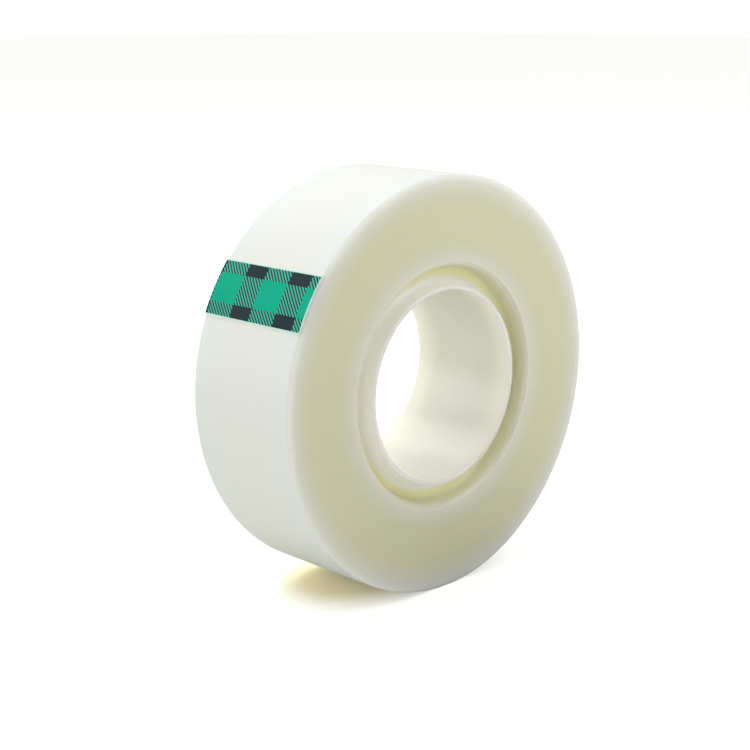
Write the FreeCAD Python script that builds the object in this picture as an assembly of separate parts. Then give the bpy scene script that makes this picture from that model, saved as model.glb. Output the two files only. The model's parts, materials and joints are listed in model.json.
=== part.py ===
import FreeCAD, Part
import os
from math import cos, degrees, pi, radians, sin, sqrt

# A roll of frosted adhesive tape, wound on a moulded core and standing on its tread.
# Millimetres. Origin at the centre of the core's bore, +Y along the bore, +Z up.
# Angles are in the XZ plane, counted from +X towards +Z. The tape ends at the upper left,
# under a printed starter tab, and peels off the roll from there.

# Tape
TAPE_WIDTH = 19.0
TAPE_LENGTH = 33000.0
FILM = 0.038
ADHESIVE = 0.014
WINDING_ROUND = 0.2      # soft inner edge of the winding, where it meets the hoop

# Core: a hub round the bore and a hoop under the tape, joined by a web between two open grooves
BORE_RADIUS = 13.5
GROOVE = 2.8             # open width between hub and hoop, at their rims
HUB_RIM_WALL = 0.6
HUB_ROOT_WALL = 0.95
HOOP_RIM_WALL = 0.9
HOOP_ROOT_WALL = 1.1
GROOVE_DEPTH = 2.2       # from the hub rim down to the web
HUB_INSET = 0.25         # hub rim, behind the side face of the tape
HOOP_INSET = 0.3         # hoop rim, behind the side face of the tape
HUB_ROUND = 0.2
HOOP_ROUND = 0.15
HOOP_LIP = 0.6           # soft edge between the hoop rim and the groove
ROOT_ROUND = 0.7

# Free end: hinged strips stand for the film that bends, then comes the end with its tab
STRIPS = 6
STRIP_LENGTH = 1.8
HINGE_CLEARANCE = 0.01   # from each strip's end to the hinge line
TAB_TOP = 141.3          # angle of the tab's upper edge
TAB_LENGTH = 8.1
TAB_THICKNESS = 0.09
GRIP_LIP = 0.8           # tab past the end of the tape, where a nail lifts it
END_CLEARANCE = 0.15     # from the tab's lower edge to the step that the tape's end leaves
RUN_OUT = 40.0           # angle over which the turn below rises back to the full radius

# Worked out from the sizes above
LAYER = FILM + ADHESIVE
CORE_RADIUS = BORE_RADIUS + HUB_RIM_WALL + GROOVE + HOOP_RIM_WALL
ROLL_RADIUS = sqrt(CORE_RADIUS**2 + TAPE_LENGTH * LAYER / pi)
UNDER_RADIUS = ROLL_RADIUS - LAYER


def angle_of(length):
    """The angle that an arc of this length covers on the roll's tread."""
    return degrees(length / ROLL_RADIUS)


STRIP_ANGLE = angle_of(STRIP_LENGTH)
PEEL_ROOT = TAB_TOP - STRIPS * STRIP_ANGLE
TAPE_END = TAB_TOP + angle_of(TAB_LENGTH - GRIP_LIP)
TAB_BOTTOM = TAB_TOP + angle_of(TAB_LENGTH)
STEP = TAB_BOTTOM + angle_of(END_CLEARANCE)


def on_tread(radius, angle):
    """A point on the roll's near side face, at this radius and angle."""
    a = radians(angle)
    return FreeCAD.Vector(radius * cos(a), -TAPE_WIDTH / 2, radius * sin(a))


def arc(radius, start, end, end_radius=None):
    """An edge from start to end, which may close in to another radius on the way."""
    last = radius if end_radius is None else end_radius
    middle = on_tread((radius + last) / 2, (start + end) / 2)
    return Part.Arc(on_tread(radius, start), middle, on_tread(last, end)).toShape()


def across_width(outline):
    """The solid with this outline over the whole width of the tape."""
    return Part.Face(outline).extrude(FreeCAD.Vector(0, TAPE_WIDTH, 0))


def sector(inner, outer, start, end):
    """A curved strip between two radii and two angles."""
    near = Part.makeLine(on_tread(inner, start), on_tread(outer, start))
    far = Part.makeLine(on_tread(outer, end), on_tread(inner, end))
    return across_width(Part.Wire([near, arc(outer, start, end), far, arc(inner, end, start)]))


def rounded_corner(before, corner, after, radius):
    """The arc that rounds one corner of an outline."""
    back = (before - corner).normalize()
    on = (after - corner).normalize()
    half = back.getAngle(on) / 2
    reach = radius * cos(half) / sin(half)
    inward = (back + on).normalize()
    middle = corner + inward * (radius / sin(half) - radius)
    return Part.Arc(corner + back * reach, middle, corner + on * reach).toShape()


def turned_ring(corners):
    """A ring turned about the bore's axis from (radius, y, rounding) corners."""
    points = [FreeCAD.Vector(radius, y, 0) for radius, y, _ in corners]
    after = points[1:] + points[:1]
    before = points[-1:] + points[:-1]
    rounds = [size for _, _, size in corners]
    arcs = [rounded_corner(*corner) for corner in zip(before, points, after, rounds)]
    edges = []
    for this, following in zip(arcs, arcs[1:] + arcs[:1]):
        start, end = this.Vertexes[-1].Point, following.Vertexes[0].Point
        edges += [this, Part.makeLine(start, end)]
    face = Part.Face(Part.Wire(edges))
    return face.revolve(FreeCAD.Vector(0, 0, 0), FreeCAD.Vector(0, 1, 0), 360)


def tape_core():
    """Hub, web and hoop, moulded in one piece, with draft from the web to the rims."""
    hub_rim = TAPE_WIDTH / 2 - HUB_INSET
    hoop_rim = TAPE_WIDTH / 2 - HOOP_INSET
    root = hub_rim - GROOVE_DEPTH
    hub_tip = BORE_RADIUS + HUB_RIM_WALL
    hub_foot = BORE_RADIUS + HUB_ROOT_WALL
    hoop_tip = CORE_RADIUS - HOOP_RIM_WALL
    hoop_foot = CORE_RADIUS - HOOP_ROOT_WALL
    near_side = [
        (BORE_RADIUS, -hub_rim, HUB_ROUND),
        (hub_tip, -hub_rim, HUB_ROUND),
        (hub_foot, -root, ROOT_ROUND),
        (hoop_foot, -root, ROOT_ROUND),
        (hoop_tip, -hoop_rim, HOOP_LIP),
        (CORE_RADIUS, -hoop_rim, HOOP_ROUND),
    ]
    far_side = [(radius, -y, size) for radius, y, size in reversed(near_side)]
    return turned_ring(near_side + far_side)


def tape_winding():
    """Every turn of tape that stays on the roll, with the step that the last turn leaves."""
    full_turn = STEP + RUN_OUT - 360
    tread = Part.Wire([
        Part.makeLine(on_tread(UNDER_RADIUS, PEEL_ROOT), on_tread(ROLL_RADIUS, PEEL_ROOT)),
        arc(ROLL_RADIUS, PEEL_ROOT, full_turn),
        arc(ROLL_RADIUS, STEP + RUN_OUT, STEP, UNDER_RADIUS),
        arc(UNDER_RADIUS, STEP, PEEL_ROOT),
    ])
    near_side = FreeCAD.Vector(0, -TAPE_WIDTH / 2, 0)
    seat = Part.makeCylinder(CORE_RADIUS, TAPE_WIDTH, near_side, FreeCAD.Vector(0, 1, 0))
    winding = across_width(tread).cut(seat)
    inner_edges = [
        edge for edge in winding.Edges
        if isinstance(edge.Curve, Part.Circle) and edge.Closed
    ]
    return winding.makeFillet(WINDING_ROUND, inner_edges)


def peel_strip(number):
    """One short length of film, which turns outward about the line where it begins."""
    clearance = angle_of(HINGE_CLEARANCE)
    start = PEEL_ROOT + (number - 1) * STRIP_ANGLE
    return sector(UNDER_RADIUS + ADHESIVE, ROLL_RADIUS, start + clearance, start + STRIP_ANGLE - clearance)


def tape_end():
    """The last of the film, under the tab."""
    start = TAB_TOP + angle_of(HINGE_CLEARANCE)
    return sector(UNDER_RADIUS + ADHESIVE, ROLL_RADIUS, start, TAPE_END)


def starter_tab():
    """The printed tab on the end of the tape, with a lip past the film to lift it by."""
    return sector(ROLL_RADIUS, ROLL_RADIUS + TAB_THICKNESS, TAB_TOP, TAB_BOTTOM)


def main():
    os.makedirs("parts", exist_ok=True)
    shapes = {
        "tape_core": tape_core(),
        "tape_winding": tape_winding(),
        "tape_end": tape_end(),
        "starter_tab": starter_tab(),
    }
    for number in range(1, STRIPS + 1):
        shapes[f"peel_strip_{number}"] = peel_strip(number)
    for node, shape in shapes.items():
        shape.exportStep(f"parts/{node}.step")
    print(f"roll radius {ROLL_RADIUS:.3f}, peel root at {PEEL_ROOT:.3f} degrees")


main()
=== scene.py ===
import json
from math import asin, atan2, ceil, cos, pi, radians, sin, tau

import bpy
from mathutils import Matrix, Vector


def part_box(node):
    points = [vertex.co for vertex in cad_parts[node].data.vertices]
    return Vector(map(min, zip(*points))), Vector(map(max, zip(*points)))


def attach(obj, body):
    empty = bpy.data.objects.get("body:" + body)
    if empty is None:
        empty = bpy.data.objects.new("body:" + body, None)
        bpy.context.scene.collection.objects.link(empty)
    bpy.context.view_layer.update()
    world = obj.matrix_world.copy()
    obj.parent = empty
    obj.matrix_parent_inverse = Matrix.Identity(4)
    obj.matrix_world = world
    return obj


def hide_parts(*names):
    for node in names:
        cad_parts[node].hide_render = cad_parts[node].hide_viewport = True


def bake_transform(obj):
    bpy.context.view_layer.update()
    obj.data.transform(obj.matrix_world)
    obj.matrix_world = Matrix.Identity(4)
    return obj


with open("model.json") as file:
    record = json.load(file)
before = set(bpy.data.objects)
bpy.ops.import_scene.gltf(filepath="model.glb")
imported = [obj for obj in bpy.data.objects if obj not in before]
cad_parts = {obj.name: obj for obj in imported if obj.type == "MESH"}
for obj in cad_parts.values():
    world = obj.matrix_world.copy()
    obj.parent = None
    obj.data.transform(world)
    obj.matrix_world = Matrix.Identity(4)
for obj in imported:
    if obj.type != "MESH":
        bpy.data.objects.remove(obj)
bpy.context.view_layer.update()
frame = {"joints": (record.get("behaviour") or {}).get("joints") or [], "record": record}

# A roll of frosted tape on a moulded core. Metres, +Y along the bore, +Z up, as in the frame.
# Angles are in the XZ plane, counted from +X towards +Z.

MM = 0.001

# Taken from the frame: the roll, its core and the places of the hinges
HINGES = {joint["name"]: Vector(joint["pos_m"]) for joint in frame["joints"]}
BORE = next(m for m in frame["record"]["mounts"] if m["name"] == "core_bore")
BORE_RADIUS = BORE["dims"]["r_mm"] * MM
ROLL_RADIUS = HINGES["peel_tab"].length
HALF_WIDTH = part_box("tape_winding")[1][1]
CORE_HALF_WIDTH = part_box("tape_core")[1][1]
CORE_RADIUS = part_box("tape_core")[1][0]


def angle_at(point):
    """The angle of a point round the bore's axis."""
    return atan2(point[2], point[0])


PEEL_ROOT = angle_at(HINGES["peel_1"])
TAB_TOP = angle_at(HINGES["peel_tab"])
TAB_BOTTOM = pi - asin(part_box("starter_tab")[0][2] / ROLL_RADIUS)
STRIPS = 6
STRIP = (TAB_TOP - PEEL_ROOT) / STRIPS

# Tape and tab
LAYER = 0.052 * MM
GRIP_LIP = 0.8 * MM              # tab past the end of the tape
END_CLEARANCE = 0.15 * MM        # from the tab's lower edge to the step
TAPE_END = TAB_BOTTOM - GRIP_LIP / ROLL_RADIUS
STEP = TAB_BOTTOM + END_CLEARANCE / ROLL_RADIUS
RUN_OUT = radians(40)            # angle over which the lowered turn rises again
TAPE_EDGE_ROUND = 0.2 * MM
TAB_THICKNESS = 0.09 * MM

# Core. The sizes are the moulding's, except that the hoop is drawn nearly level with the sides
# of the tape, where the frame's hoop stands 0.3 mm behind them.
HUB_RIM_WALL = 0.6 * MM
HUB_ROOT_WALL = 0.95 * MM
HUB_ROUND = 0.2 * MM
HOOP_RIM_WALL = 0.9 * MM
HOOP_ROOT_WALL = 1.1 * MM
HOOP_LIP = 0.6 * MM              # soft edge between the hoop's rim and the groove
HOOP_INSET = 0.04 * MM
GROOVE_DEPTH = 2.2 * MM
ROOT_ROUND = 0.7 * MM
HALF_WEB = CORE_HALF_WIDTH - GROOVE_DEPTH
HOOP_HALF_WIDTH = HALF_WIDTH - HOOP_INSET

# Where tape and core meet. Both take a finish there that no light travels in.
SEAM = 0.6 * MM
SEAM_ROUND = 0.03 * MM

# How finely the pieces are made
WINDING_STEPS = 421
CORE_STEPS = 361
ARC_STEPS = 5
SHARP_ANGLE = radians(35)
MERGE_GAP = 0.0001 * MM


# ---------------------------------------------------------------- node trees

class Nodes:
    """Adds nodes to a tree. A socket is given a number, or another node's output to read."""

    def __init__(self, tree):
        self.tree = tree

    def fill(self, socket, value):
        """Links an output to the socket, or sets the socket to a number."""
        if isinstance(value, bpy.types.NodeSocket):
            self.tree.links.new(value, socket)
        else:
            socket.default_value = value

    def add(self, kind, inputs=None, **settings):
        """A new node, with its settings and its inputs, which go by name or by number."""
        node = self.tree.nodes.new(kind)
        for name, value in settings.items():
            setattr(node, name, value)
        for key, value in (inputs or {}).items():
            self.fill(node.inputs[key], value)
        return node

    def math(self, operation, *values, clamp=False):
        """The result of one operation."""
        node = self.add("ShaderNodeMath", operation=operation, use_clamp=clamp)
        for socket, value in zip(node.inputs, values):
            self.fill(socket, value)
        return node.outputs[0]

    def ramp(self, value, low, high, start=0.0, end=1.0):
        """Eases from start at low to end at high."""
        node = self.add("ShaderNodeMapRange", interpolation_type="SMOOTHSTEP")
        for key, number in enumerate((value, low, high, start, end)):
            self.fill(node.inputs[key], number)
        return node.outputs[0]

    def blend(self, share, first, second):
        """A colour between two others."""
        node = self.add("ShaderNodeMix", data_type="RGBA")
        colours = [s for s in node.inputs if s.type == "RGBA"]
        self.fill(node.inputs[0], share)
        self.fill(colours[0], first)
        self.fill(colours[1], second)
        return next(s for s in node.outputs if s.type == "RGBA")

    def arrange(self):
        """Lays the nodes out in the order in which they were added."""
        for place, node in enumerate(self.tree.nodes):
            node.location = (220 * (place // 4), -220 * (place % 4))


def new_group(name, kind, inputs, outputs):
    """An empty node group with these named sockets, and its input and output nodes."""
    tree = bpy.data.node_groups.new(name, kind)
    for direction, sockets in (("INPUT", inputs), ("OUTPUT", outputs)):
        for label, socket_type in sockets:
            tree.interface.new_socket(label, in_out=direction, socket_type="NodeSocket" + socket_type)
    nodes = Nodes(tree)
    return nodes, nodes.add("NodeGroupInput").outputs, nodes.add("NodeGroupOutput").inputs


def ring_tree():
    """Draws a section out along a straight line, then wraps that bar round the bore's axis.

    The outermost skin is lowered by one layer over the recess, and rises back over the run-out.
    Fine bands run round the flat sides, where the edges of the turns don't quite line up.
    """
    nodes, given, result = new_group("Wrapped Ring", "GeometryNodeTree", [
        ("Section", "Object"), ("Steps", "Int"), ("Start", "Float"), ("Sweep", "Float"),
        ("Open Ends", "Bool"), ("Outer Radius", "Float"), ("Half Width", "Float"),
        ("Layer", "Float"), ("Recess", "Float"), ("Run Out", "Float"),
        ("Band Height", "Float"), ("Bands Per Metre", "Float"), ("Seed", "Float"),
        ("Sharp Angle", "Float"), ("Material", "Material"),
    ], [("Geometry", "Geometry")])
    section = nodes.add("GeometryNodeObjectInfo", {"Object": given["Section"]})
    far_end = nodes.add("ShaderNodeCombineXYZ", {"Z": given["Steps"]})
    line = nodes.add("GeometryNodeCurvePrimitiveLine", {"End": far_end.outputs[0]})
    columns = nodes.math("ADD", given["Steps"], 1)
    path = nodes.add("GeometryNodeResampleCurve", {"Curve": line.outputs[0], "Count": columns})
    bar = nodes.add("GeometryNodeCurveToMesh", {
        "Curve": path.outputs[0],
        "Profile Curve": section.outputs["Geometry"],
        "Fill Caps": given["Open Ends"],
    })
    place = nodes.add("ShaderNodeSeparateXYZ", {0: nodes.add("GeometryNodeInputPosition").outputs[0]})
    radius, across, column = place.outputs

    # a flat map of the bar: across the tape, and along it
    along = nodes.math("DIVIDE", column, given["Steps"])
    from_middle = nodes.math("DIVIDE", across, given["Half Width"])
    share_across = nodes.math("MULTIPLY_ADD", from_middle, 0.5, 0.5)
    flat = nodes.add("ShaderNodeCombineXYZ", {"X": share_across, "Y": along})
    mapped = nodes.add("GeometryNodeStoreNamedAttribute", {
        "Geometry": bar.outputs[0],
        "Name": "UVMap",
        "Value": flat.outputs[0],
    }, data_type="FLOAT2", domain="CORNER")

    # in a closed ring the last column stands at the first one's place, and closes the step there
    last_turned = nodes.math("SUBTRACT", given["Steps"], nodes.math("SUBTRACT", 1, given["Open Ends"]))
    turned = nodes.math("DIVIDE", column, last_turned, clamp=True)
    swept = nodes.math("MULTIPLY", turned, given["Sweep"])
    angle = nodes.math("ADD", swept, given["Start"])

    # only the outermost millimetre goes down into the recess
    past_recess = nodes.math("SUBTRACT", swept, given["Recess"])
    risen = nodes.math("DIVIDE", past_recess, given["Run Out"])
    lowered = nodes.math("SUBTRACT", 1, risen, clamp=True)
    at_step = nodes.math("GREATER_THAN", column, nodes.math("SUBTRACT", given["Steps"], 0.5))
    drop = nodes.math("MULTIPLY", nodes.math("MAXIMUM", lowered, at_step), given["Layer"])
    depth = nodes.math("SUBTRACT", given["Outer Radius"], radius)
    skin = nodes.ramp(depth, 1.0 * MM, 0.2 * MM)
    lower_radius = nodes.math("SUBTRACT", radius, nodes.math("MULTIPLY", drop, skin))

    # bands on the flat sides, which fade out before the rounded edge
    cosine = nodes.math("COSINE", angle)
    sine = nodes.math("SINE", angle)
    side = nodes.math("SIGN", across)
    round_about = nodes.add("ShaderNodeCombineXYZ", {"X": cosine, "Y": side, "Z": sine})
    bands = nodes.add("ShaderNodeTexNoise", {
        "Vector": round_about.outputs[0],
        "W": nodes.math("MULTIPLY_ADD", radius, given["Bands Per Metre"], given["Seed"]),
        "Scale": 0.35,
        "Detail": 3.0,
    }, noise_dimensions="4D")
    inset = nodes.math("SUBTRACT", given["Half Width"], nodes.math("ABSOLUTE", across))
    on_side = nodes.ramp(inset, 0.02 * MM, 0.0)
    clear_of_edge = nodes.ramp(depth, TAPE_EDGE_ROUND, 4 * TAPE_EDGE_ROUND)
    flat_side = nodes.math("MULTIPLY", on_side, clear_of_edge)
    height = nodes.math("MULTIPLY", flat_side, given["Band Height"])
    inward = nodes.math("MULTIPLY", nodes.math("MULTIPLY", height, bands.outputs[0]), side)

    wrapped = nodes.add("ShaderNodeCombineXYZ", {
        "X": nodes.math("MULTIPLY", lower_radius, cosine),
        "Y": nodes.math("SUBTRACT", across, inward),
        "Z": nodes.math("MULTIPLY", lower_radius, sine),
    })
    ring = nodes.add("GeometryNodeSetPosition", {
        "Geometry": mapped.outputs[0],
        "Position": wrapped.outputs[0],
    })
    merged = nodes.add("GeometryNodeMergeByDistance", {
        "Geometry": ring.outputs[0],
        "Distance": MERGE_GAP,
    })
    smooth = nodes.add("GeometryNodeSetShadeSmooth", {"Geometry": merged.outputs[0]}, domain="FACE")
    edge = nodes.add("GeometryNodeInputMeshEdgeAngle")
    gentle = nodes.math("LESS_THAN", edge.outputs["Unsigned Angle"], given["Sharp Angle"])
    creased = nodes.add("GeometryNodeSetShadeSmooth", {
        "Geometry": smooth.outputs[0],
        "Shade Smooth": gentle,
    }, domain="EDGE")
    whole = nodes.add("GeometryNodeRealizeInstances", {"Geometry": creased.outputs[0]})
    dressed = nodes.add("GeometryNodeSetMaterial", {
        "Geometry": whole.outputs[0],
        "Material": given["Material"],
    })
    nodes.fill(result["Geometry"], dressed.outputs[0])
    nodes.arrange()
    return nodes.tree


def plain_mesh(name, tree, values):
    """The mesh that a tree makes from these named inputs, as a plain object at the origin."""
    carrier = bpy.data.objects.new(name + "_tree", bpy.data.meshes.new(name + "_tree"))
    bpy.context.collection.objects.link(carrier)
    modifier = carrier.modifiers.new("Tree", "NODES")
    modifier.node_group = tree
    for item in tree.interface.items_tree:
        if item.in_out == "INPUT" and item.name in values:
            modifier[item.identifier] = values[item.name]
    evaluated = carrier.evaluated_get(bpy.context.evaluated_depsgraph_get())
    mesh = bpy.data.meshes.new_from_object(evaluated)
    mesh.name = name
    bpy.data.objects.remove(carrier)
    piece = bpy.data.objects.new(name, mesh)
    bpy.context.collection.objects.link(piece)
    return piece


# ---------------------------------------------------------------- sections

def rounded_outline(corners):
    """Points round an outline of (radius, y, rounding, spacing) corners.

    Spacing is the longest gap between points on the way to the next corner.
    """
    rounded = []
    for number, (radius, y, rounding, _) in enumerate(corners):
        corner = Vector((radius, y))
        before = (Vector(corners[number - 1][:2]) - corner).normalized()
        after = (Vector(corners[(number + 1) % len(corners)][:2]) - corner).normalized()
        half = before.angle(after) / 2
        centre = corner + (before + after).normalized() * rounding / sin(half)
        first = corner + before * rounding * cos(half) / sin(half)
        last = corner + after * rounding * cos(half) / sin(half)
        turn = (first - centre).angle_signed(last - centre)
        arm = first - centre
        arc = []
        for step in range(ARC_STEPS + 1):
            a = -turn * step / ARC_STEPS
            turned = (arm.x * cos(a) - arm.y * sin(a), arm.x * sin(a) + arm.y * cos(a))
            arc.append(centre + Vector(turned))
        rounded.append(arc)
    points = []
    for number, arc in enumerate(rounded):
        following = rounded[(number + 1) % len(rounded)][0]
        count = ceil((following - arc[-1]).length / corners[number][3])
        points += arc
        points += [arc[-1].lerp(following, step / count) for step in range(1, count)]
    return points


def section_curve(name, points):
    """A closed curve through the points of a section: X is the radius, Y is across the tape."""
    curve = bpy.data.curves.new(name, "CURVE")
    curve.dimensions = "3D"
    spline = curve.splines.new("POLY")
    spline.points.add(len(points) - 1)
    for point, place in zip(spline.points, points):
        point.co = (place[0], place[1], 0, 1)
    spline.use_cyclic_u = True
    section = bpy.data.objects.new(name, curve)
    bpy.context.collection.objects.link(section)
    return section


def mirrored(near_side):
    """The corners of an outline from those of its near side, which has negative y.

    A spacing belongs to the edge that follows a corner, so it moves to the mirrored edge's start.
    """
    far_side = []
    for number in range(len(near_side) - 1, -1, -1):
        radius, y, rounding, _ = near_side[number]
        spacing = near_side[number - 1][3] if number else near_side[-1][3]
        far_side.append((radius, -y, rounding, spacing))
    return near_side + far_side


def ring_piece(name, corners, material, start=0.0, sweep=tau, steps=360, **extra):
    """A turned ring, or an arc of one with closed ends, from the corners of its section."""
    section = section_curve(name + "_section", rounded_outline(corners))
    values = {
        "Section": section,
        "Steps": steps,
        "Start": start,
        "Sweep": sweep,
        "Open Ends": sweep < tau,
        "Outer Radius": ROLL_RADIUS,
        "Half Width": HALF_WIDTH,
        "Layer": 0.0,
        "Recess": 0.0,
        "Run Out": 1.0,
        "Band Height": 0.0,
        "Bands Per Metre": 0.0,
        "Seed": 0.0,
        "Sharp Angle": SHARP_ANGLE,
        "Material": material,
    }
    values.update({key.replace("_", " ").title(): value for key, value in extra.items()})
    piece = plain_mesh(name, RING, values)
    bpy.data.objects.remove(section)
    return piece


# ---------------------------------------------------------------- effects that materials share

def place_group():
    """Where a point of the roll is, from the bore's axis and from the middle of the tape."""
    nodes, _, result = new_group("Place On Roll", "ShaderNodeTree", [], [
        ("Radius", "Float"), ("Off Middle", "Float"), ("Around", "Vector"),
    ])
    here = nodes.add("ShaderNodeTexCoord").outputs["Object"]
    x, y, z = nodes.add("ShaderNodeSeparateXYZ", {0: here}).outputs
    flat = nodes.add("ShaderNodeCombineXYZ", {"X": x, "Z": z}).outputs[0]
    length = nodes.add("ShaderNodeVectorMath", {0: flat}, operation="LENGTH").outputs["Value"]
    unit = nodes.add("ShaderNodeVectorMath", {0: flat}, operation="NORMALIZE").outputs["Vector"]
    nodes.fill(result["Radius"], length)
    nodes.fill(result["Off Middle"], nodes.math("ABSOLUTE", y))
    nodes.fill(result["Around"], unit)
    nodes.arrange()
    return nodes.tree


def grain_group():
    """A fine frosted or moulded grain, and slow cloudy changes of tone."""
    nodes, given, result = new_group("Grain", "ShaderNodeTree", [
        ("Grain Size", "Float"), ("Cloud Size", "Float"),
    ], [("Grain", "Float"), ("Clouds", "Float")])
    here = nodes.add("ShaderNodeTexCoord").outputs["Object"]
    for label, size, detail in (("Grain", given["Grain Size"], 2.0), ("Clouds", given["Cloud Size"], 3.0)):
        noise = nodes.add("ShaderNodeTexNoise", {
            "Vector": here,
            "Scale": nodes.math("DIVIDE", 1, size),
            "Detail": detail,
        })
        nodes.fill(result[label], noise.outputs[0])
    nodes.arrange()
    return nodes.tree


def turns_group():
    """The edges of the wound turns, as fine rings on the flat sides."""
    nodes, given, result = new_group("Wound Turns", "ShaderNodeTree", [
        ("Radius", "Float"), ("Around", "Vector"), ("Turn", "Float"),
    ], [("Fine", "Float"), ("Broad", "Float")])
    for label, per_turn, drift in (("Fine", 1.0, 0.4), ("Broad", 0.09, 0.8)):
        turn_number = nodes.math("DIVIDE", given["Radius"], given["Turn"])
        noise = nodes.add("ShaderNodeTexNoise", {
            "Vector": given["Around"],
            "W": nodes.math("MULTIPLY", turn_number, per_turn),
            "Scale": drift,
            "Detail": 2.0,
        }, noise_dimensions="4D")
        nodes.fill(result[label], noise.outputs[0])
    nodes.arrange()
    return nodes.tree


def new_material(name):
    """A material with one empty shader, and the nodes to build it with."""
    material = bpy.data.materials.new(name)
    material.use_nodes = True
    material.node_tree.nodes.clear()
    nodes = Nodes(material.node_tree)
    shader = nodes.add("ShaderNodeBsdfPrincipled")
    nodes.add("ShaderNodeOutputMaterial", {"Surface": shader.outputs[0]})
    return material, nodes, shader


def effect(nodes, group, **inputs):
    """The outputs of a shared group. Its inputs are named with _ for each space."""
    node = nodes.add("ShaderNodeGroup", node_tree=group)
    for key, value in inputs.items():
        nodes.fill(node.inputs[key.replace("_", " ")], value)
    return node.outputs


def set_finish(nodes, shader, colour, roughness, height, strength, depth):
    """Joins a colour, a roughness and a bump to the shader, and lays the nodes out."""
    bump = nodes.add("ShaderNodeBump", {"Height": height, "Strength": strength, "Distance": depth})
    nodes.fill(shader.inputs["Base Color"], colour)
    nodes.fill(shader.inputs["Roughness"], roughness)
    nodes.fill(shader.inputs["Normal"], bump.outputs[0])
    nodes.arrange()


def let_light_in(shader, share, tint, depth):
    """Gives the shader a share of light that travels some way under the surface."""
    shader.inputs["Subsurface Weight"].default_value = share
    shader.inputs["Subsurface Radius"].default_value = tint
    shader.inputs["Subsurface Scale"].default_value = depth


# ---------------------------------------------------------------- materials

CREAM = (0.755, 0.748, 0.512, 1)
MILK_GLOW = (0.79, 0.80, 0.735, 1)
PALE_GLOW_AND_BANDS = (0.90, 0.91, 0.87, 1)
RIM_GLOW = (0.885, 0.895, 0.81, 1)
FROST_EDGE_GLOW = (0.81, 0.84, 0.81, 1)
DEEP_FROST = (0.815, 0.835, 0.77, 1)


def frosted_tape(name, through):
    """Matt film. Light passes through the edges of the roll, and its deep middle looks cream. The paler
    tones towards its edges and the core are painted glow as well.

    Through is the share of the light that travels inside it.
    """
    material, nodes, shader = new_material(name)
    place = effect(nodes, PLACE)
    grain = effect(nodes, GRAIN, Grain_Size=0.12 * MM, Cloud_Size=9 * MM)
    turns = effect(nodes, TURNS, Radius=place["Radius"], Around=place["Around"], Turn=LAYER)
    from_tread = nodes.math("SUBTRACT", ROLL_RADIUS, place["Radius"])

    # the side: cream, with painted glow of light through the edges: milky at the tread, and paler again at
    # the core and at the rim
    side = nodes.blend(nodes.ramp(from_tread, 0.0, 4.5 * MM), MILK_GLOW, CREAM)
    near_core = nodes.ramp(place["Radius"], CORE_RADIUS + 3 * MM, CORE_RADIUS, 0.0, 0.4)
    side = nodes.blend(near_core, side, PALE_GLOW_AND_BANDS)
    side = nodes.blend(nodes.ramp(from_tread, 1.5 * MM, 0.1 * MM), side, RIM_GLOW)
    side = nodes.blend(nodes.math("MULTIPLY", turns["Broad"], 0.15), side, PALE_GLOW_AND_BANDS)

    # the tread: painted glow, whiter towards the sides of the tape, where light comes through
    near_side = nodes.ramp(place["Off Middle"], HALF_WIDTH - 6 * MM, HALF_WIDTH)
    tread = nodes.blend(near_side, DEEP_FROST, FROST_EDGE_GLOW)
    on_tread = nodes.ramp(from_tread, 0.15 * MM, 0.06 * MM)
    fine_rings = nodes.math("MULTIPLY", turns["Fine"], nodes.math("SUBTRACT", 1, on_tread))
    set_finish(
        nodes, shader, nodes.blend(on_tread, side, tread),
        roughness=nodes.ramp(grain["Clouds"], 0.2, 0.8, 0.5, 0.6),
        height=nodes.math("MULTIPLY_ADD", grain["Grain"], 0.5, fine_rings),
        strength=0.25, depth=0.02 * MM,
    )
    shader.inputs["Specular IOR Level"].default_value = 0.35
    let_light_in(shader, through, tint=(1.0, 0.97, 0.85), depth=2.5 * MM)
    return material


def adhesive_side():
    """The sticky underside of the film."""
    material, nodes, shader = new_material("adhesive_side")
    grain = effect(nodes, GRAIN, Grain_Size=0.6 * MM, Cloud_Size=12 * MM)
    set_finish(
        nodes, shader, nodes.blend(grain["Clouds"], (0.84, 0.85, 0.77, 1), (0.87, 0.88, 0.81, 1)),
        roughness=nodes.ramp(grain["Clouds"], 0.2, 0.8, 0.26, 0.34),
        height=grain["Grain"], strength=0.05, depth=0.02 * MM,
    )
    return material


DULL_BORE = (0.78, 0.78, 0.69, 1)
BRIGHT_BORE = (0.82, 0.82, 0.75, 1)
HUB_WHITE = (0.95, 0.96, 0.95, 1)
AMBER = (0.95, 0.90, 0.56, 1)
LIP_CREAM = (0.84, 0.84, 0.68, 1)


def core_plastic(name, through):
    """Pale natural plastic, moulded. The hoop takes the colour of the tape wound on it.

    Through is the share of the light that travels inside it.
    """
    material, nodes, shader = new_material(name)
    place = effect(nodes, PLACE)
    radius = place["Radius"]
    grain = effect(nodes, GRAIN, Grain_Size=0.25 * MM, Cloud_Size=7 * MM)
    bore = nodes.blend(grain["Clouds"], DULL_BORE, BRIGHT_BORE)
    hub = nodes.blend(nodes.ramp(radius, BORE_RADIUS, BORE_RADIUS + 0.4 * MM), bore, HUB_WHITE)
    in_groove = nodes.ramp(radius, BORE_RADIUS + 1.1 * MM, BORE_RADIUS + 2.3 * MM)
    groove = nodes.blend(in_groove, hub, AMBER)
    on_hoop = nodes.ramp(radius, CORE_RADIUS - 1.0 * MM, CORE_RADIUS - 0.4 * MM)
    off_web = nodes.ramp(place["Off Middle"], HALF_WEB, HOOP_HALF_WIDTH)
    set_finish(
        nodes, shader, nodes.blend(nodes.math("MULTIPLY", on_hoop, off_web), groove, LIP_CREAM),
        roughness=nodes.ramp(grain["Clouds"], 0.2, 0.8, 0.28, 0.36),
        height=grain["Grain"], strength=0.1, depth=0.02 * MM,
    )
    let_light_in(shader, through, tint=(1.0, 0.97, 0.8), depth=3.0 * MM)
    return material


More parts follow.
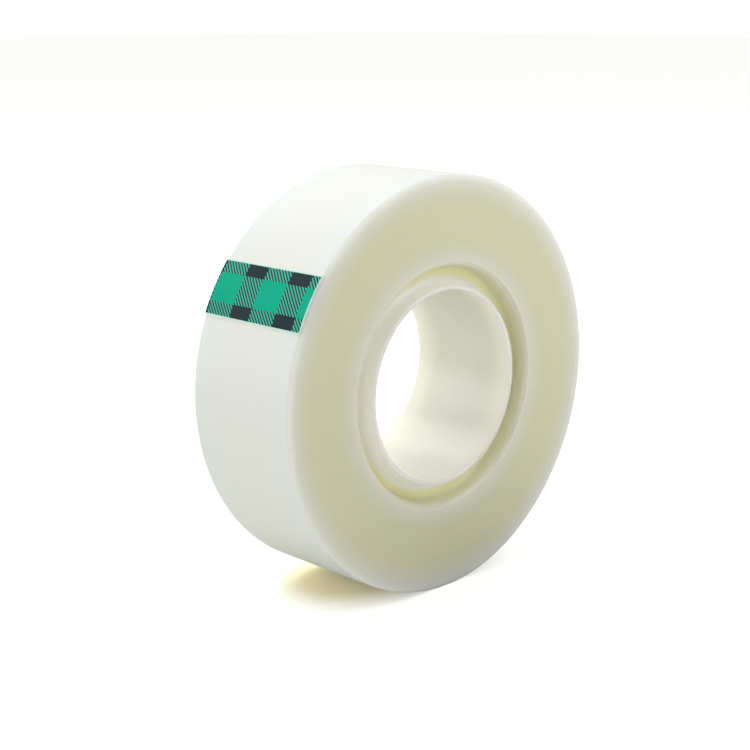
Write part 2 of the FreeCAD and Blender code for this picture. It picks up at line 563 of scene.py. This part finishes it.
# The printed check on the tab
CHECK_PERIOD = 8.5 * MM
COLUMN = 4.7 * MM
COLUMN_START = 0.35 * MM
ROW = 4.1 * MM
HATCH_PITCH = 0.42 * MM
MARGIN = 0.2 * MM
HATCH_GREEN = (0.08, 0.52, 0.38, 1)
PAPER_GREEN = (0.62, 0.86, 0.76, 1)


def printed_tab():
    """A gingham check, printed in two inks on pale paper. Where only one stripe runs, it is hatched."""
    material, nodes, shader = new_material("printed_tab")
    flat = nodes.add("ShaderNodeUVMap", uv_map="UVMap").outputs[0]
    u, v, _ = nodes.add("ShaderNodeSeparateXYZ", {0: flat}).outputs
    length = ROLL_RADIUS * (TAB_BOTTOM - TAB_TOP)
    across = nodes.math("MULTIPLY", nodes.math("SUBTRACT", 1, u), 2 * HALF_WIDTH)
    along = nodes.math("MULTIPLY", v, length)
    grain = effect(nodes, GRAIN, Grain_Size=0.15 * MM, Cloud_Size=5 * MM)

    def stripes(distance, start, width):
        turn = nodes.math("DIVIDE", nodes.math("SUBTRACT", distance, start), CHECK_PERIOD)
        return nodes.math("LESS_THAN", nodes.math("FRACT", turn), width / CHECK_PERIOD)

    column = stripes(across, COLUMN_START, COLUMN)
    row = stripes(along, (length - ROW) / 2, ROW)
    both = nodes.math("MULTIPLY", column, row)
    one = nodes.math("ABSOLUTE", nodes.math("SUBTRACT", column, row))
    slant = nodes.math("MULTIPLY", nodes.math("SUBTRACT", across, along), tau / HATCH_PITCH / 2 ** 0.5)
    hatch = nodes.math("GREATER_THAN", nodes.math("SINE", slant), 0.0)
    dark = nodes.blend(grain["Clouds"], (0.018, 0.032, 0.036, 1), (0.032, 0.052, 0.056, 1))
    green = nodes.blend(grain["Clouds"], (0.003, 0.40, 0.24, 1), (0.008, 0.47, 0.29, 1))
    hatched = nodes.blend(nodes.math("MULTIPLY", one, hatch), dark, HATCH_GREEN)
    ink = nodes.blend(both, hatched, green)

    # a bare margin at both ends and on the near side
    to_side = nodes.math("SUBTRACT", 2 * HALF_WIDTH, across)
    to_end = nodes.math("MINIMUM", along, nodes.math("SUBTRACT", length, along))
    printed = nodes.math("GREATER_THAN", nodes.math("MINIMUM", to_side, to_end), MARGIN)
    set_finish(
        nodes, shader, nodes.blend(printed, PAPER_GREEN, ink),
        roughness=nodes.ramp(grain["Grain"], 0.3, 0.7, 0.5, 0.62),
        height=grain["Grain"], strength=0.15, depth=0.01 * MM,
    )
    shader.inputs["Specular IOR Level"].default_value = 0.04
    return material


def tab_paper():
    """The unprinted edges and underside of the tab."""
    material, nodes, shader = new_material("tab_paper")
    grain = effect(nodes, GRAIN, Grain_Size=0.2 * MM, Cloud_Size=3 * MM)
    set_finish(
        nodes, shader, nodes.blend(grain["Clouds"], (0.80, 0.84, 0.80, 1), (0.88, 0.9, 0.87, 1)),
        roughness=0.8, height=grain["Grain"], strength=0.3, depth=0.02 * MM,
    )
    return material


# ---------------------------------------------------------------- pieces

def second_finish(piece, material, chosen):
    """Gives a second material to the chosen faces, told by their radius and normal."""
    piece.data.materials.append(material)
    for face in piece.data.polygons:
        out = Vector((face.center.x, 0, face.center.z))
        facing_out = face.normal.dot(out) / out.length
        if chosen(out.length, face.normal.y, facing_out):
            face.material_index = 1


def winding():
    """The wound tape, with the recess that the free end lies in."""
    near_side = [
        (CORE_RADIUS, -HALF_WIDTH, SEAM_ROUND, 0.2 * MM),
        (ROLL_RADIUS, -HALF_WIDTH, TAPE_EDGE_ROUND, 0.5 * MM),
    ]
    piece = ring_piece(
        "tape_turns", mirrored(near_side), WOUND_TAPE, start=PEEL_ROOT, steps=WINDING_STEPS,
        layer=LAYER, recess=STEP - PEEL_ROOT, run_out=RUN_OUT,
        band_height=0.03 * MM, bands_per_metre=2500.0, seed=4.0,
    )

    def on_tread_or_seam(radius, sideways, _):
        on_tread = radius > ROLL_RADIUS - 2 * LAYER and abs(sideways) < 0.3
        return on_tread or radius < CORE_RADIUS + SEAM

    second_finish(piece, FILM, on_tread_or_seam)
    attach(piece, "roll")
    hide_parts("tape_winding")


def core():
    """Hub, web and hoop."""
    near_side = [
        (BORE_RADIUS, -CORE_HALF_WIDTH, HUB_ROUND, 0.3 * MM),
        (BORE_RADIUS + HUB_RIM_WALL, -CORE_HALF_WIDTH, HUB_ROUND, 0.5 * MM),
        (BORE_RADIUS + HUB_ROOT_WALL, -HALF_WEB, ROOT_ROUND, 0.4 * MM),
        (CORE_RADIUS - HOOP_ROOT_WALL, -HALF_WEB, ROOT_ROUND, 0.4 * MM),
        (CORE_RADIUS - HOOP_RIM_WALL, -HOOP_HALF_WIDTH, HOOP_LIP, 0.3 * MM),
        (CORE_RADIUS, -HOOP_HALF_WIDTH, SEAM_ROUND, 0.2 * MM),
    ]
    piece = ring_piece("core_moulding", mirrored(near_side), CORE_PLASTIC, steps=CORE_STEPS)
    second_finish(piece, HOOP_RIM, lambda radius, *_: radius > CORE_RADIUS - SEAM)
    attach(piece, "roll")
    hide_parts("tape_core")


def film_section():
    """A film strip's section: it keeps the rounded edge of the roll, one layer deep."""
    corners = []
    for share in (1.0, 0.5, 0.0):
        depth = LAYER * share
        inset = TAPE_EDGE_ROUND - (TAPE_EDGE_ROUND**2 - (TAPE_EDGE_ROUND - depth)**2) ** 0.5
        corners.append((ROLL_RADIUS - depth, inset - HALF_WIDTH, 0.004 * MM, 0.5 * MM))
    return mirrored(corners)


def film_piece(name, start, end, steps):
    """A length of film, sticky on the side towards the roll. It casts no shadow."""
    piece = ring_piece(name, film_section(), FILM, start=start, sweep=end - start, steps=steps)

    def underneath(radius, _, facing_out):
        return facing_out < -0.7 and radius < ROLL_RADIUS - LAYER / 2

    second_finish(piece, ADHESIVE, underneath)
    piece.visible_shadow = False
    piece.visible_diffuse = False
    return piece


def free_end():
    """The film from the peel root to the tape's end, in lengths that meet halfway between the hinges. The
    last length goes with the tab.
    """
    for number in range(STRIPS + 1):
        hinge = PEEL_ROOT + number * STRIP
        start = hinge - (STRIP / 2 if number else 0)
        end = hinge + (STRIP / 2 if number < STRIPS else 0)
        piece = film_piece(f"film_{number + 1}", start, end, steps=10)
        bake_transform(piece)
        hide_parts(*(["peel_strip_" + str(number)] if number else ["peel_strip_1"]))
    piece = film_piece("film_end", TAB_TOP, TAPE_END, steps=30)
    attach(piece, "tab")
    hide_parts("tape_end")


def tab():
    """The printed tab over the end of the tape."""
    near_side = [
        (ROLL_RADIUS, -HALF_WIDTH, 0.01 * MM, 0.05 * MM),
        (ROLL_RADIUS + TAB_THICKNESS, -HALF_WIDTH, 0.02 * MM, 0.4 * MM),
    ]
    piece = ring_piece(
        "starter_print", mirrored(near_side), TAB_PRINT, start=TAB_TOP,
        sweep=TAB_BOTTOM - TAB_TOP, steps=40,
    )
    second_finish(piece, TAB_PAPER, lambda radius, sideways, facing_out: facing_out < 0.6)
    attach(piece, "tab")
    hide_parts("starter_tab")


# ---------------------------------------------------------------- stage

WARM_PAINTED_SHADOW = (0.98, 0.86, 0.48, 1)
PALE_FLOOR = (0.95, 0.95, 0.93, 1)
DIM_BOUNCE = (0.3, 0.3, 0.27, 1)
PALE_BOUNCE = (0.7, 0.7, 0.66, 1)
SWEEP_STRENGTH = 1.2
SEEN_STRENGTH = 1.5              # the sweep as the camera sees it, which is plain white


def floor():
    """Pale floor, which glows a little away from the roll, so that it is nearly as white as the sweep.

    The camera sees a painted warm shadow under the roll's left, where the floor also glows least. The roll
    sees a dim patch of painted shade before it.
    """
    bpy.ops.mesh.primitive_plane_add(size=6, location=(0, 0, -ROLL_RADIUS))
    plane = bpy.context.object
    plane.name = "floor"
    material, nodes, shader = new_material("floor")
    here = nodes.add("ShaderNodeTexCoord").outputs["Object"]

    def away_from(x, y):
        between = nodes.add("ShaderNodeVectorMath", {0: here, 1: (x, y, 0)}, operation="DISTANCE")
        return between.outputs["Value"]

    left = away_from(-8 * MM, 3 * MM)
    before = away_from(6 * MM, -22 * MM)
    seen = nodes.add("ShaderNodeLightPath").outputs["Is Camera Ray"]
    # painted shadow: warm near the roll's left, as the camera sees the floor
    shown = nodes.blend(nodes.ramp(left, 5 * MM, 14 * MM), WARM_PAINTED_SHADOW, PALE_FLOOR)
    # painted shade: a dim patch before the roll, which only light bouncing onto the roll sees
    bounced = nodes.blend(nodes.ramp(before, 4 * MM, 26 * MM), DIM_BOUNCE, PALE_BOUNCE)
    nodes.fill(shader.inputs["Base Color"], nodes.blend(seen, bounced, shown))
    # the glow is weakest near the roll's left, which paints the shadow there
    near_glow = nodes.ramp(left, 5 * MM, 14.5 * MM, 0.09, 0.48)
    far_glow = nodes.ramp(left, 20 * MM, 300 * MM, 0.0, 0.25)
    glow = nodes.math("MULTIPLY", seen, nodes.math("ADD", near_glow, far_glow))
    nodes.fill(shader.inputs["Emission Strength"], glow)
    shader.inputs["Emission Color"].default_value = (1, 1, 0.97, 1)
    shader.inputs["Roughness"].default_value = 0.9
    shader.inputs["Specular IOR Level"].default_value = 0.0
    nodes.arrange()
    plane.data.materials.append(material)


def soft_light(name, place, size, power):
    """A square lamp at place, aimed at the roll. Size is in metres and power in watts."""
    lamp = bpy.data.lights.new(name, "AREA")
    lamp.size = size
    lamp.energy = power
    holder = bpy.data.objects.new(name, lamp)
    holder.location = place
    holder.rotation_euler = Vector(place).to_track_quat("Z", "Y").to_euler()
    bpy.context.collection.objects.link(holder)


def light():
    """A bright sweep behind the roll, and soft lamps all round. The sweep itself looks plain white."""
    world = bpy.data.worlds.new("studio")
    bpy.context.scene.world = world
    world.use_nodes = True
    nodes = Nodes(world.node_tree)
    toward = nodes.add("ShaderNodeTexCoord").outputs["Generated"]
    _, back, _ = nodes.add("ShaderNodeSeparateXYZ", {0: toward}).outputs
    seen = nodes.add("ShaderNodeLightPath").outputs["Is Camera Ray"]
    sweep = nodes.math("MULTIPLY", nodes.math("MAXIMUM", back, 0.0), SWEEP_STRENGTH)
    plain = nodes.math("MULTIPLY", seen, SEEN_STRENGTH)
    background = world.node_tree.nodes["Background"]
    background.inputs["Color"].default_value = (1, 1, 1, 1)
    nodes.fill(background.inputs["Strength"], nodes.math("MAXIMUM", sweep, plain))
    soft_light("top", (0.0, 0.0, 0.6), 0.5, 1.0)
    soft_light("top_behind", (0.0, 0.3, 0.5), 0.4, 1.33)
    soft_light("front", (0.2, -0.5, 0.08), 0.3, 0.66)
    soft_light("near", (0.08, -0.12, 0.12), 0.08, 0.097)
    soft_light("left", (-0.5, -0.2, 0.1), 0.4, 0.93)
    soft_light("left_behind", (-0.4, 0.3, 0.15), 0.3, 0.57)
    soft_light("right_behind", (0.25, 0.5, 0.12), 0.25, 0.38)
    bpy.context.scene.view_settings.view_transform = "Standard"


def camera():
    """Stands to the front left and a little above, and is aimed at the bore's middle."""
    azimuth, elevation, distance = radians(-45.1), radians(13.7), 0.2192
    back = Vector((sin(azimuth) * cos(elevation), -cos(azimuth) * cos(elevation), sin(elevation)))
    lens = bpy.data.cameras.new("camera")
    lens.lens = 73.6
    lens.shift_x = -0.032
    lens.clip_start = 0.005
    holder = bpy.data.objects.new("camera", lens)
    holder.location = back * distance
    holder.rotation_euler = back.to_track_quat("Z", "Y").to_euler()
    bpy.context.collection.objects.link(holder)
    bpy.context.scene.camera = holder


RING = ring_tree()
PLACE = place_group()
GRAIN = grain_group()
TURNS = turns_group()
WOUND_TAPE = frosted_tape("wound_tape", 0.8)
FILM = frosted_tape("film", 0.0)
ADHESIVE = adhesive_side()
CORE_PLASTIC = core_plastic("core_plastic", 1.0)
HOOP_RIM = core_plastic("hoop_rim", 0.0)
TAB_PRINT = printed_tab()
TAB_PAPER = tab_paper()

camera()
light()
floor()
winding()
core()
free_end()
tab()
